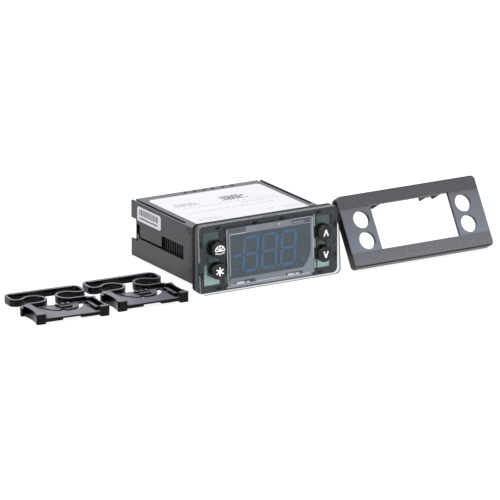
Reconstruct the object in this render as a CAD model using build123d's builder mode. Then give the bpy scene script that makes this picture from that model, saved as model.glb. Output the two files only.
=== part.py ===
from build123d import *
import os
from math import cos, radians, sin

os.makedirs("parts", exist_ok=True)

# Panel-mounted refrigeration temperature controller, with its front bezel and its two
# mounting clips taken off and lying beside it. Sizes are in millimetres.
# X runs along the front from left to right, Y from the front to the back, and Z up.
# The origin is the middle of the front frame's bottom edge, and z = 0 is the floor.

# Front frame and its gasket
front_lip_side = 2.0
front_lip_top = 2.9
front_corner = 2.5
frame_depth = 2.0
frame_wall = 1.2
frame_rim = 1.3
frame_bar = 1.4
frame_border = 3.6
gasket_depth = 2.8
gasket_inset = 0.1

# Casing
case_width = 70.0
case_height = 26.6
case_bottom = 2.5
case_wall = 1.5
case_edge = 0.5
case_back = 63.5
flange_depth = 1.2
rail_slot = 1.5
rail_thickness = 1.0
rail_slot_front = 16.3
rail_web_low = 10.9
rail_web_high = 20.8
rail_chamfer = 0.6
web_back = 59.0
seam_y = 8.2
seam_width = 0.3
seam_cut = 0.5

# Clip channel and vent in each side of the casing
channel_front = 15.0
channel_back = 56.4
channel_low = 12.2
channel_high = 18.7
channel_cut = 0.35
groove_height = 0.9
groove_cut = 1.8
groove_front = 35.8
vent_count = 10
vent_front = 15.3
vent_length = 20.5
vent_slot = 1.35
latch_slot = (1.9, 4.7)
latch_slot_at = (57.3, 16.4)
latch_notch = (1.5, 1.2)
latch_notch_at = (58.0, 11.3)
latch_cut = 2.2
vent_recess = 1.2
roundel_radius = 1.4
roundel_ring = 0.35

# Circuit boards and what stands on them
clearance = 0.1
board_play = 0.7
board_thickness = 1.4
main_board_z = 6.0
main_board_thickness = 1.6
main_board_front = 5.0
main_board_back = 58.0
main_board_clearance = 0.4
guide_rib = 0.8
guide_height = 1.0

# Clear front, which stands off at its lower edge as it does without the bezel
front_lean = 3.5
clear_thickness = 1.2
platform_gap = 4.2
platform_edge = 1.9
platform_rise = 2.8
platform_side = 0.8
platform_corner_cut = 3.0
clear_notch = (7.4, 0.7)

# Display
display_side = 2.45
display_edge = 4.15
display_drop = 0.15
display_face = 1.15
segment_rise = 0.12
digit_width = 7.05
digit_height = 15.4
digit_stroke = 1.4
digit_pitch = 10.0
digit_first_x = -10.5
digit_lift = 0.1
digit_slant = 5.0

# Push buttons and the switches under them
button_inset = 9.0
button_drop = 0.12
button_pitch = 10.15
button_radius = 3.9
button_front = -5.9
button_length = 4.5
button_hole_radius = 4.15
button_travel = 0.4
switch_size = 6.2
stem_radius = 1.65
stem_length = 1.6
stem_play = 0.15

# Bezel
bezel_width = 76.2
bezel_height = 34.6
bezel_depth = 4.9
bezel_corner = 2.0
bezel_edge = 0.7
bezel_wall = 1.0
bezel_face = 2.0
bezel_lean = 31.5
bezel_turn = 0.64
bezel_at = (43.2, -3.61)
bezel_border_low = 6.8
bezel_border_high = 6.3
bezel_band_cut = 0.3
bezel_window_side = 2.25
bezel_hole_radius = 4.25
tongue_length = 6.6
tongue_thickness = 0.8
tongue_rib = 1.1

# Mounting clips
clip_places = {
    "mounting_clip_left": (-104.0, -7.3, -4.65),
    "mounting_clip_right": (-63.0, -7.2, -2.5),
}
clip_inner_half = 13.6
clip_outer_half = 17.8
clip_waist_half = 16.6
clip_depth = 17.0
clip_block_height = 4.7
clip_plate_low = 1.7
clip_plate_top = 2.5
clip_plate_back = 18.5
clip_ledge_low = 0.9
clip_ledge_depth = 14.0
tongue_slit_radius = 10.4
tongue_radius = 8.8
pawl_low = 1.0
pawl_top = 3.3
spring_low = 1.0
spring_height = 3.2
spring_strip = 1.2
spring_loop_x = 8.3
spring_front_y = 19.8
spring_loop_radius = 5.3
spring_bend_radius = 2.6
spring_bend_x = 15.2
spring_back_y = 37.2
spring_bar = 2.0
curl_radius = 2.6
curl_height = 3.9

# Worked out from the values above
front_width = case_width + 2 * front_lip_side
front_height = case_bottom + case_height + front_lip_top
front_y = -frame_depth / 2
back_y = frame_depth / 2
mid_z = front_height / 2
gasket_back = back_y + gasket_depth
case_half = case_width / 2
body_half = case_half - rail_thickness - rail_slot
case_top = case_bottom + case_height
case_mid = case_bottom + case_height / 2
pocket_width = front_width - 2 * frame_rim
pocket_height = front_height - 2 * frame_rim
board_width = pocket_width - 2 * board_play
board_height = pocket_height - 2 * board_play
board_front = front_y + frame_wall + clearance
board_back = board_front + board_thickness
flange_front = board_back + clearance
flange_back = flange_front + flange_depth
cavity_half = body_half - case_wall
cavity_low = case_bottom + case_wall
cavity_high = case_top - case_wall
main_board_top = main_board_z + main_board_thickness
button_x = front_width / 2 - button_inset
button_mid_z = mid_z - button_drop
button_heights = (button_mid_z - button_pitch / 2, button_mid_z + button_pitch / 2)
display_z = mid_z - display_drop
digit_z = mid_z + digit_lift
platform_height = front_height - 2 * platform_edge
display_height = platform_height - 2 * display_edge
bezel_band_low = bezel_border_low
bezel_band_high = bezel_height - bezel_border_high
platform_width = 2 * (button_x - platform_gap)
display_width = platform_width - 2 * display_side
bezel_window_width = platform_width - 2 * bezel_window_side
surround_width = platform_width - 2 * platform_side - 2 * clearance
surround_height = platform_height - 2 * platform_side - 2 * clearance
opening_width = surround_width + 0.8
opening_height = surround_height + 0.8


def facing(y):
    """Sketch plane at depth y that faces the viewer: its x is X and its y is Z."""
    return Plane(origin=(0, y, 0), x_dir=(1, 0, 0), z_dir=(0, -1, 0))


def left_side(x):
    """Sketch plane at x that faces left: its x is -Y and its y is Z."""
    return Plane(origin=(x, 0, 0), x_dir=(0, -1, 0), z_dir=(-1, 0, 0))


def leaning(out):
    """Plane parallel to the clear front, out from its back face: its x is X, its y runs up."""
    lean = radians(front_lean)
    back = Plane(
        origin=(0, front_y - clearance, front_height),
        x_dir=(1, 0, 0),
        z_dir=(0, -cos(lean), sin(lean)),
    )
    return back.offset(out)


# Casing: one moulding with a flange, side rails, clip channels and vents
with BuildPart() as casing:
    with BuildSketch(facing(flange_front)):
        with Locations((0, mid_z)):
            RectangleRounded(pocket_width - 2 * clearance, pocket_height - 2 * clearance, 1.2)
    extrude(amount=-flange_depth)
    with BuildSketch(facing(flange_front)):
        with Locations((0, case_mid)):
            RectangleRounded(case_width, case_height, case_edge)
    extrude(amount=flange_front - case_back)
    # Cavity, open at the front and the back
    with BuildSketch(facing(flange_front)):
        with Locations((0, case_mid)):
            Rectangle(2 * cavity_half, case_height - 2 * case_wall)
    extrude(amount=flange_front - case_back, mode=Mode.SUBTRACT)
    # Slots that free the side rails from the body, above and below the web
    with BuildSketch(facing(rail_slot_front)):
        for side in (-1, 1):
            with Locations((side * (body_half + rail_slot / 2), 0)):
                with Locations((0, (rail_web_high + case_top + 1) / 2)):
                    Rectangle(rail_slot, case_top + 1 - rail_web_high)
                with Locations((0, (rail_web_low + case_bottom - 1) / 2)):
                    Rectangle(rail_slot, rail_web_low - case_bottom + 1)
    extrude(amount=rail_slot_front - case_back, mode=Mode.SUBTRACT)
    # The web ends short of the rails at the back
    with BuildSketch(facing(web_back)):
        for side in (-1, 1):
            with Locations((side * (body_half + case_half) / 2, (rail_web_low + rail_web_high) / 2)):
                Rectangle(case_half - body_half, rail_web_high - rail_web_low)
    extrude(amount=web_back - case_back, mode=Mode.SUBTRACT)
    # Outer edge of each rail slopes away
    rail_edges = casing.edges().filter_by(Axis.Y).filter_by(
        lambda e: abs(abs(e.center().X) - case_half) < 0.01
        and min(abs(e.center().Z - case_top), abs(e.center().Z - case_bottom)) < case_edge + 0.01
        and e.length > 1.0
    )
    # Clip channel, its groove, the vent and the latch slots, alike on both sides
    for side in (-1, 1):
        face = left_side(side * case_half)
        inward = side
        with BuildSketch(face):
            with Locations((-(channel_front + channel_back) / 2, (channel_low + channel_high) / 2)):
                Rectangle(channel_back - channel_front, channel_high - channel_low)
        extrude(amount=inward * channel_cut, mode=Mode.SUBTRACT)
        with BuildSketch(face):
            with BuildLine():
                Polyline(
                    (-groove_front, channel_low),
                    (-groove_front, channel_low + groove_height),
                    (-channel_back + 2.0, channel_low + groove_height * 0.8),
                    (-channel_back, channel_low),
                    close=True,
                )
            make_face()
        extrude(amount=inward * groove_cut, mode=Mode.SUBTRACT)
        with BuildSketch(face):
            with Locations((-(vent_front + vent_length / 2), (channel_low + channel_high) / 2)):
                Rectangle(vent_length, channel_high - channel_low)
        extrude(amount=inward * vent_recess, mode=Mode.SUBTRACT)
        with BuildSketch(face):
            with Locations((-(vent_front + vent_length / 2), (channel_low + channel_high) / 2)):
                with GridLocations(vent_length / vent_count, 1, vent_count, 1):
                    Rectangle(vent_slot, channel_high - channel_low)
        extrude(amount=inward * (case_half - cavity_half), mode=Mode.SUBTRACT)
        with BuildSketch(face):
            with Locations((-latch_slot_at[0], latch_slot_at[1])):
                Rectangle(*latch_slot)
            with Locations((-latch_notch_at[0], latch_notch_at[1])):
                Rectangle(*latch_notch)
        extrude(amount=inward * latch_cut, mode=Mode.SUBTRACT)
        # Ringed pip and small slit that the frame's latches snap into, beside the seam
        with BuildSketch(face):
            with Locations((-(seam_y + seam_width + roundel_radius + 0.1), case_top - roundel_radius - 0.4)):
                Circle(roundel_radius)
                Circle(roundel_radius - roundel_ring, mode=Mode.SUBTRACT)
            with Locations((-(seam_y + 0.6), case_bottom + 5.7)):
                Rectangle(1.4, 0.5)
        extrude(amount=inward * 0.6, mode=Mode.SUBTRACT)
    # Seam of the front collar, all round the casing
    with BuildSketch(facing(seam_y)):
        with Locations((0, case_mid)):
            Rectangle(case_width + 1, case_height + 1)
            RectangleRounded(
                case_width - 2 * seam_cut, case_height - 2 * seam_cut, case_edge, mode=Mode.SUBTRACT
            )
    extrude(amount=-seam_width, mode=Mode.SUBTRACT)
    # Ribs that carry the main board
    with BuildSketch(facing(main_board_front)):
        for side in (-1, 1):
            with Locations((side * (cavity_half - guide_rib / 2), main_board_z - guide_height / 2)):
                Rectangle(guide_rib, guide_height)
            with Locations(
                (side * (cavity_half - guide_rib / 2), main_board_top + clearance + guide_height / 2)
            ):
                Rectangle(guide_rib, guide_height)
    extrude(amount=main_board_front - main_board_back)
    # Shallow marks beside the terminals, along the top's rear edge
    with BuildSketch(Plane.XY.offset(case_top)):
        with Locations(*[(x, case_back - 2.2) for x in (-7.5, -2.7, 2.5, 7.0, 12.5, 17.5)]):
            Rectangle(1.3, 2.0)
    extrude(amount=-0.3, mode=Mode.SUBTRACT)
casing.part.label = "casing"
export_step(casing.part, "parts/casing.step")

# Front frame: shallow tray with windows for the display and the keys
with BuildPart() as front_frame:
    with BuildSketch(facing(front_y)):
        with Locations((0, mid_z)):
            RectangleRounded(front_width, front_height, front_corner)
    extrude(amount=-frame_depth)
    with BuildSketch(facing(front_y + frame_wall)):
        with Locations((0, mid_z)):
            RectangleRounded(pocket_width, pocket_height, front_corner - frame_rim)
    extrude(amount=frame_wall - frame_depth, mode=Mode.SUBTRACT)
    with BuildSketch(facing(front_y)):
        with Locations((0, mid_z)):
            Rectangle(opening_width, opening_height)
        for side in (-1, 1):
            inner = side * (opening_width / 2 + frame_bar)
            outer = side * (front_width / 2 - frame_border)
            with BuildLine():
                Polyline(
                    (inner, 3.2),
                    (outer, 3.2),
                    (outer, mid_z - 2.6),
                    (outer - side * 2.2, mid_z - 2.6),
                    (outer - side * 2.2, mid_z + 1.4),
                    (outer - side * 1.0, mid_z + 1.4),
                    (outer - side * 1.0, mid_z + 7.0),
                    (outer + side * 0.4, mid_z + 7.0),
                    (outer + side * 0.4, front_height - 3.8),
                    (inner, front_height - 3.8),
                    close=True,
                )
            make_face()
    extrude(amount=-frame_wall, mode=Mode.SUBTRACT)
    # Pockets for the bezel's hooks, round the rim and beside the keys
    with BuildSketch(facing(front_y)):
        with Locations(*[(x, front_height - 2.0) for x in (-26.5, -7.05, 7.05, 26.5)]):
            Rectangle(2.7, 1.5)
        with Locations(*[(x, 1.7) for x in (-26.5, -7.05, 7.05, 26.5)]):
            Rectangle(2.7, 1.3)
        for side in (-1, 1):
            with Locations(*[(side * (front_width / 2 - 1.5), z) for z in (mid_z - 8.9, mid_z + 8.1)]):
                Rectangle(1.5, 2.6)
            with Locations((side * (front_width / 2 - 3.3), mid_z - 0.7)):
                Rectangle(4.2, 3.0)
    extrude(amount=-0.8, mode=Mode.SUBTRACT)
front_frame.part.label = "front_frame"
export_step(front_frame.part, "parts/front_frame.step")

# Gasket: rubber ring that wraps the casing's flange and seals on the panel
with BuildPart() as panel_gasket:
    with BuildSketch(facing(back_y)):
        with Locations((0, mid_z)):
            RectangleRounded(
                front_width - 2 * gasket_inset, front_height - 2 * gasket_inset, front_corner
            )
    extrude(amount=-gasket_depth)
    with BuildSketch(facing(back_y)):
        with Locations((0, mid_z)):
            RectangleRounded(pocket_width, pocket_height, front_corner - frame_rim)
    extrude(amount=back_y - flange_back, mode=Mode.SUBTRACT)
    with BuildSketch(facing(flange_back)):
        with Locations((0, case_mid)):
            RectangleRounded(case_width + 2 * clearance, case_height + 2 * clearance, case_edge)
    extrude(amount=flange_back - gasket_back, mode=Mode.SUBTRACT)
panel_gasket.part.label = "panel_gasket"
export_step(panel_gasket.part, "parts/panel_gasket.step")

# Clear front: thin clear plate with a raised display platform, hollow behind
with BuildPart() as clear_front:
    with BuildSketch(leaning(0)):
        with Locations((0, -mid_z)):
            RectangleRounded(front_width, front_height, front_corner)
    extrude(amount=clear_thickness)
    with BuildSketch(leaning(0)):
        with Locations((0, display_z - front_height)):
            Rectangle(platform_width, platform_height)
    extrude(amount=platform_rise)
    corner_edge = (
        clear_front.edges()
        .filter_by(lambda e: abs(e.center().X - platform_width / 2) < 0.01 and e.length < 3)
        .sort_by(Axis.Z)[0]
    )
    chamfer(corner_edge, platform_corner_cut * 0.9)
    with BuildSketch(leaning(0)):
        with Locations((0, display_z - front_height)):
            Rectangle(surround_width + 2 * clearance, surround_height + 2 * clearance)
    extrude(amount=platform_rise - clear_thickness, mode=Mode.SUBTRACT)
    with BuildSketch(leaning(0)):
        with Locations(*[(x, z - front_height) for x in (-button_x, button_x) for z in button_heights]):
            Circle(button_hole_radius)
        with Locations((0.8, 0)):
            Rectangle(clear_notch[0], 2 * clear_notch[1])
    extrude(amount=platform_rise, mode=Mode.SUBTRACT)
clear_front.part.label = "clear_front"
export_step(clear_front.part, "parts/clear_front.step")


# Outline of the display's dark face, with its lower right corner swept away
with BuildSketch() as display_outline:
    with BuildLine():
        face_right = display_width / 2
        face_top = display_height / 2
        Polyline(
            (face_right - 4.6, -face_top),
            (-face_right, -face_top),
            (-face_right, face_top),
            (face_right, face_top),
            (face_right, -face_top + 8.6),
        )
        ThreePointArc(
            (face_right, -face_top + 8.6),
            (face_right - 1.5, -face_top + 3.6),
            (face_right - 4.6, -face_top),
        )
    make_face()

# Display block: LED display with a dark face, wedge shaped because the clear front leans
with BuildPart() as display_block:
    with BuildSketch(leaning(display_face)):
        with Locations((0, display_z - front_height)):
            add(display_outline.sketch)
    extrude(amount=-6)
    split(bisect_by=facing(board_front), keep=Keep.TOP)
display_block.part.label = "display_block"
export_step(display_block.part, "parts/display_block.step")

# Display surround: pale frame that fills the space between the block and the clear platform
with BuildPart() as display_surround:
    with BuildSketch(leaning(display_face)):
        with Locations((0, display_z - front_height)):
            Rectangle(surround_width, surround_height)
    extrude(amount=-6)
    with BuildSketch(leaning(display_face)):
        with Locations((0, display_z - front_height)):
            add(display_outline.sketch)
        offset(amount=clearance, kind=Kind.INTERSECTION)
    extrude(amount=-6, mode=Mode.SUBTRACT)
    split(bisect_by=facing(board_front), keep=Keep.TOP)
display_surround.part.label = "display_surround"
export_step(display_surround.part, "parts/display_surround.step")


def bar_points(length):
    """Corners of one bar of a digit, pointed at both ends."""
    half = digit_stroke / 2
    return [
        (-length / 2, 0),
        (-length / 2 + half, half),
        (length / 2 - half, half),
        (length / 2, 0),
        (length / 2 - half, -half),
        (-length / 2 + half, -half),
    ]


# Display segments: three seven-segment digits, a minus sign, a point and small pictograms
segment_gap = 0.3
lean_shift = sin(radians(digit_slant))
with BuildPart() as display_segments:
    with BuildSketch(leaning(display_face)):
        for digit in range(3):
            digit_x = digit_first_x + digit * digit_pitch
            for row in (-1, 0, 1):
                bar_y = row * digit_height / 2
                with Locations((digit_x + bar_y * lean_shift, digit_z - front_height + bar_y)):
                    Polygon(*bar_points(digit_width - segment_gap))
            for column in (-1, 1):
                for row in (-1, 1):
                    bar_y = row * digit_height / 4
                    centre = (
                        digit_x + column * digit_width / 2 + bar_y * lean_shift,
                        digit_z - front_height + bar_y,
                    )
                    with Locations(centre):
                        Polygon(*bar_points(digit_height / 2 - segment_gap), rotation=90 - digit_slant)
        with Locations((digit_first_x - 6.9, digit_z - front_height)):
            Rectangle(4.2, digit_stroke)
        with Locations((digit_first_x + 1.5 * digit_pitch - 0.6, digit_z - front_height - digit_height / 2)):
            Rectangle(digit_stroke, digit_stroke)
        # Pictograms: two status dots, a bar and a warning triangle
        with Locations((-19.0, 23.4 - front_height), (-17.2, 22.6 - front_height)):
            Circle(0.5)
        with Locations((-18.4, 9.8 - front_height)):
            Rectangle(1.8, 0.7)
        with Locations((17.4, 9.6 - front_height)):
            RegularPolygon(1.1, 3, rotation=90)
    extrude(amount=segment_rise)
display_segments.part.label = "display_segments"
export_step(display_segments.part, "parts/display_segments.step")

# Display board: carries the display and the key switches
with BuildPart() as display_board:
    with BuildSketch(facing(board_front)):
        with Locations((0, mid_z)):
            RectangleRounded(board_width, board_height, 1.0)
    extrude(amount=-board_thickness)
display_board.part.label = "display_board"
export_step(display_board.part, "parts/display_board.step")

# Key switches: a square body on the board and a round stem into each button
switch_front = board_front - 1.2
with BuildPart() as key_switches:
    with BuildSketch(facing(board_front)):
        with Locations(*[(x, z) for x in (-button_x, button_x) for z in button_heights]):
            RectangleRounded(switch_size, switch_size, 0.6)
    extrude(amount=board_front - switch_front)
    with BuildSketch(facing(switch_front)):
        with Locations(*[(x, z) for x in (-button_x, button_x) for z in button_heights]):
            Circle(stem_radius)
    extrude(amount=stem_length)
key_switches.part.label = "key_switches"
export_step(key_switches.part, "parts/key_switches.step")

# Buttons: crowned round caps with a blind bore for the switch's stem
button_places = {
    "button_defrost": (-button_x, button_heights[1]),
    "button_set": (-button_x, button_heights[0]),
    "button_up": (button_x, button_heights[1]),
    "button_down": (button_x, button_heights[0]),
}
button_back = button_front + button_length
bore_depth = (button_back - (switch_front - stem_length)) + button_travel + clearance
for button_name, (button_centre_x, button_centre_z) in button_places.items():
    axis_plane = Plane(
        origin=(button_centre_x, button_back, button_centre_z), x_dir=(1, 0, 0), z_dir=(0, 0, 1)
    )
    with BuildPart() as button:
        with BuildSketch(axis_plane) as button_profile:
            with BuildLine():
                Polyline((0, 0), (button_radius, 0), (button_radius, -button_length + 1.0))
                ThreePointArc(
                    (button_radius, -button_length + 1.0),
                    (button_radius - 0.25, -button_length + 0.5),
                    (button_radius - 0.8, -button_length + 0.25),
                )
                ThreePointArc(
                    (button_radius - 0.8, -button_length + 0.25),
                    (button_radius * 0.5, -button_length + 0.07),
                    (button_radius * 0.2, -button_length),
                )
                Polyline((button_radius * 0.2, -button_length), (0, -button_length), (0, 0))
            make_face()
        revolve(axis=Axis((button_centre_x, 0, button_centre_z), (0, 1, 0)))
        with BuildSketch(
            Plane(origin=(button_centre_x, button_back, button_centre_z), x_dir=(1, 0, 0), z_dir=(0, -1, 0))
        ):
            Circle(stem_radius + stem_play)
        extrude(amount=bore_depth, mode=Mode.SUBTRACT)
    button.part.label = button_name
    export_step(button.part, f"parts/{button_name}.step")

# Main board and what stands on it
with BuildPart() as main_board:
    with BuildSketch(Plane.XY.offset(main_board_z)):
        with Locations((0, (main_board_front + main_board_back) / 2)):
            Rectangle(2 * (cavity_half - main_board_clearance), main_board_back - main_board_front)
    extrude(amount=main_board_thickness)
main_board.part.label = "main_board"
export_step(main_board.part, "parts/main_board.step")

transformer_width = 24.0
transformer_x = -cavity_half + 2.5 + transformer_width / 2
relay_x = cavity_half - 9.0
capacitor_x = -cavity_half + 8.0
buzzer_x = capacitor_x + 15.0
with BuildPart() as transformer:
    with BuildSketch(Plane.XY.offset(main_board_top)):
        with Locations((transformer_x, 25.0)):
            Rectangle(transformer_width, 14.0)
    extrude(amount=17.0)
    with BuildSketch(Plane.XY.offset(main_board_top)):
        with Locations((transformer_x, 25.0)):
            RectangleRounded(transformer_width - 9.0, 22.0, 2.0)
    extrude(amount=14.0)
transformer.part.label = "transformer"
export_step(transformer.part, "parts/transformer.step")

with BuildPart() as relays:
    with BuildSketch(Plane.XY.offset(main_board_top)):
        with Locations((relay_x, 34.0)):
            RectangleRounded(12.5, 29.0, 0.8)
        with Locations((relay_x - 13.0, 27.0), (relay_x - 13.0, 42.5)):
            RectangleRounded(10.0, 14.0, 0.8)
    extrude(amount=15.5)
    fillet(relays.faces().sort_by(Axis.Z)[-1].edges(), 0.6)
relays.part.label = "relays"
export_step(relays.part, "parts/relays.step")

with BuildPart() as smoothing_capacitor:
    with BuildSketch(Plane.XY.offset(main_board_top)):
        with Locations((capacitor_x, 43.5)):
            Circle(5.0)
    extrude(amount=16.0)
    fillet(smoothing_capacitor.edges().sort_by(Axis.Z)[-1], 0.6)
smoothing_capacitor.part.label = "smoothing_capacitor"
export_step(smoothing_capacitor.part, "parts/smoothing_capacitor.step")

with BuildPart() as controller_chip:
    with BuildSketch(Plane.XY.offset(main_board_top)):
        with Locations((relay_x - 4.0, 12.0)):
            Rectangle(10.0, 10.0)
    extrude(amount=1.6)
    chamfer(controller_chip.faces().sort_by(Axis.Z)[-1].edges(), 0.3)
controller_chip.part.label = "controller_chip"
export_step(controller_chip.part, "parts/controller_chip.step")

with BuildPart() as buzzer:
    with BuildSketch(Plane.XY.offset(main_board_top)):
        with Locations((buzzer_x, 43.0)):
            Circle(4.6)
    extrude(amount=5.0)
    with BuildSketch(Plane.XY.offset(main_board_top + 5.0)):
        with Locations((buzzer_x, 43.0)):
            Circle(0.9)
    extrude(amount=-2.0, mode=Mode.SUBTRACT)
buzzer.part.label = "buzzer"
export_step(buzzer.part, "parts/buzzer.step")

# Board header: joins the display board to the main board
with BuildPart() as board_header:
    with BuildSketch(Plane.YZ.offset(-12.0)):
        with BuildLine():
            Polyline(
                (board_back, main_board_top + 1.0),
                (main_board_front + 0.5, main_board_top + 1.0),
                (main_board_front + 0.5, main_board_top),
                (main_board_front + 3.5, main_board_top),
                (main_board_front + 3.5, main_board_top + 4.0),
                (board_back, main_board_top + 4.0),
                close=True,
            )
        make_face()
    extrude(amount=20.0)
board_header.part.label = "board_header"
export_step(board_header.part, "parts/board_header.step")

# Terminal blocks at the rear, with wire entries below and screws above
terminal_pitch = 5.08
terminal_height = 14.0
terminal_front = 50.5
terminal_back = case_back - 0.6
wire_radius = 1.5
screw_radius = 1.8
wire_z = main_board_top + 4.2
screw_z = main_board_top + 9.6
screw_length = 6.0
screw_sunk = 0.8
wire_depth = 7.0
terminal_margin = 1.7
sensor_ways = 3
power_ways = int((2 * (cavity_half - terminal_margin) - 1.5) // terminal_pitch) - sensor_ways
terminal_blocks = {
    "power_terminals": (power_ways, -cavity_half + terminal_margin + power_ways * terminal_pitch / 2),
    "sensor_terminals": (sensor_ways, cavity_half - terminal_margin - sensor_ways * terminal_pitch / 2),
}
for block_name, (ways, block_x) in terminal_blocks.items():
    with BuildPart() as terminal_block:
        with BuildSketch(facing(terminal_back)):
            with Locations((block_x, main_board_top + terminal_height / 2)):
                Rectangle(ways * terminal_pitch, terminal_height)
        extrude(amount=terminal_back - terminal_front)
        chamfer(terminal_block.edges().filter_by(Axis.X).sort_by(Axis.Z)[-2:].sort_by(Axis.Y)[0], 4.0)
        with BuildSketch(facing(terminal_back)):
            with Locations((block_x, wire_z)):
                with GridLocations(terminal_pitch, 1, ways, 1):
                    Circle(wire_radius)
        extrude(amount=wire_depth, mode=Mode.SUBTRACT)
        with BuildSketch(facing(terminal_back)):
            with Locations((block_x, screw_z)):
                with GridLocations(terminal_pitch, 1, ways, 1):
                    Circle(screw_radius + clearance)
        extrude(amount=screw_length + screw_sunk, mode=Mode.SUBTRACT)
    terminal_block.part.label = block_name
    export_step(terminal_block.part, f"parts/{block_name}.step")

with BuildPart() as terminal_screws:
    for ways, block_x in terminal_blocks.values():
        with BuildSketch(facing(terminal_back - screw_sunk)):
            with Locations((block_x, screw_z)):
                with GridLocations(terminal_pitch, 1, ways, 1):
                    Circle(screw_radius)
        extrude(amount=screw_length)
        with BuildSketch(facing(terminal_back - screw_sunk)):
            with Locations((block_x, screw_z)):
                with GridLocations(terminal_pitch, 1, ways, 1):
                    Rectangle(2 * screw_radius + 1, 0.5)
        extrude(amount=0.7, mode=Mode.SUBTRACT)
terminal_screws.part.label = "terminal_screws"
export_step(terminal_screws.part, "parts/terminal_screws.step")

# Rear cover: plain plate in the casing's mouth, round the terminal blocks
cover_thickness = 1.5
with BuildPart() as rear_cover:
    with BuildSketch(facing(case_back - cover_thickness)):
        with Locations((0, case_mid)):
            Rectangle(2 * (cavity_half - clearance), case_height - 2 * case_wall - 2 * clearance)
        for ways, block_x in terminal_blocks.values():
            with Locations((block_x, main_board_top + terminal_height / 2)):
                Rectangle(
                    ways * terminal_pitch + 2 * clearance, terminal_height + 2 * clearance, mode=Mode.SUBTRACT
                )
    extrude(amount=-cover_thickness)
rear_cover.part.label = "rear_cover"
export_step(rear_cover.part, "parts/rear_cover.step")

# Labels: print field on the top, and a small one on the left side
top_label_front = 9.1
top_label_back = case_back - 5.8
with BuildPart() as top_label:
    with BuildSketch(Plane.XY.offset(case_top)) as top_label_outline:
        with Locations((0, (top_label_front + top_label_back) / 2)):
            Rectangle(2 * (body_half - 2.7), top_label_back - top_label_front)
        chamfer(top_label_outline.vertices().group_by(Axis.Y)[-1], 1.6)
    extrude(amount=0.15)
top_label.part.label = "top_label"
export_step(top_label.part, "parts/top_label.step")

with BuildPart() as side_label:
    with BuildSketch(left_side(-case_half)):
        with Locations((16.8 - case_back, case_top - 5.0)):
            RectangleRounded(22.0, 6.9, 1.3)
    extrude(amount=0.12)
side_label.part.label = "side_label"
export_step(side_label.part, "parts/side_label.step")


def bezel_plane(out):
    """Plane of the leaning bezel, out from its rear edge: its x runs along it, its y up it."""
    lean = radians(bezel_lean)
    turn = radians(bezel_turn)
    rear = Plane(
        origin=(bezel_at[0], bezel_at[1], 0),
        x_dir=(cos(turn), sin(turn), 0),
        z_dir=(cos(lean) * sin(turn), -cos(lean) * cos(turn), sin(lean)),
    )
    return rear.offset(out)


# Bezel: snap-on front with a window, four key holes and hook tongues behind
bezel_mid = (bezel_width / 2, bezel_height / 2)
with BuildPart() as bezel:
    with BuildSketch(bezel_plane(0)):
        with Locations(bezel_mid):
            RectangleRounded(bezel_width, bezel_height, bezel_corner)
    extrude(amount=bezel_depth)
    out_axis = bezel_plane(0).z_dir
    front_rim = bezel.faces().sort_by(Axis((0, 0, 0), (out_axis.X, out_axis.Y, out_axis.Z)))[-1]
    fillet(front_rim.edges(), bezel_edge)
    with BuildSketch(bezel_plane(0)):
        with Locations(bezel_mid):
            RectangleRounded(
                bezel_width - 2 * bezel_wall, bezel_height - 2 * bezel_wall, bezel_corner - bezel_wall
            )
    extrude(amount=bezel_depth - bezel_face, mode=Mode.SUBTRACT)
    # Middle band, sunk a little below the two outer bands
    with BuildSketch(bezel_plane(bezel_depth - bezel_band_cut)):
        with Locations((bezel_width / 2, (bezel_band_low + bezel_band_high) / 2)):
            Rectangle(bezel_width + 1, bezel_band_high - bezel_band_low)
    extrude(amount=bezel_band_cut + 1, mode=Mode.SUBTRACT)
    with BuildSketch(bezel_plane(0)):
        with Locations((bezel_width / 2, (bezel_band_low + bezel_band_high) / 2)):
            Rectangle(bezel_window_width, bezel_band_high - bezel_band_low)
        with Locations(bezel_mid):
            with Locations(
                *[(x, z - mid_z) for x in (-button_x, button_x) for z in button_heights]
            ):
                Circle(bezel_hole_radius)
    extrude(amount=bezel_depth + 1, mode=Mode.SUBTRACT)
    # Hook tongues along the upper and the lower edge, each with a rib at its ends
    tongue_spans = ((-23.4, -15.2), (10.2, 18.2))
    for above in (1, -1):
        tongue_y = bezel_height / 2 + above * (bezel_height / 2 - 5.0)
        with BuildSketch(bezel_plane(bezel_depth - bezel_face)):
            for low, high in tongue_spans:
                with Locations((bezel_width / 2 + (low + high) / 2, tongue_y)):
                    Rectangle(high - low, tongue_thickness)
                for end in (low + tongue_rib / 2, high - tongue_rib / 2):
                    with Locations((bezel_width / 2 + end, tongue_y - above * 0.5)):
                        Rectangle(tongue_rib, tongue_thickness + 1.0)
        extrude(amount=-tongue_length)
bezel.part.label = "bezel"
export_step(bezel.part, "parts/bezel.step")

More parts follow.
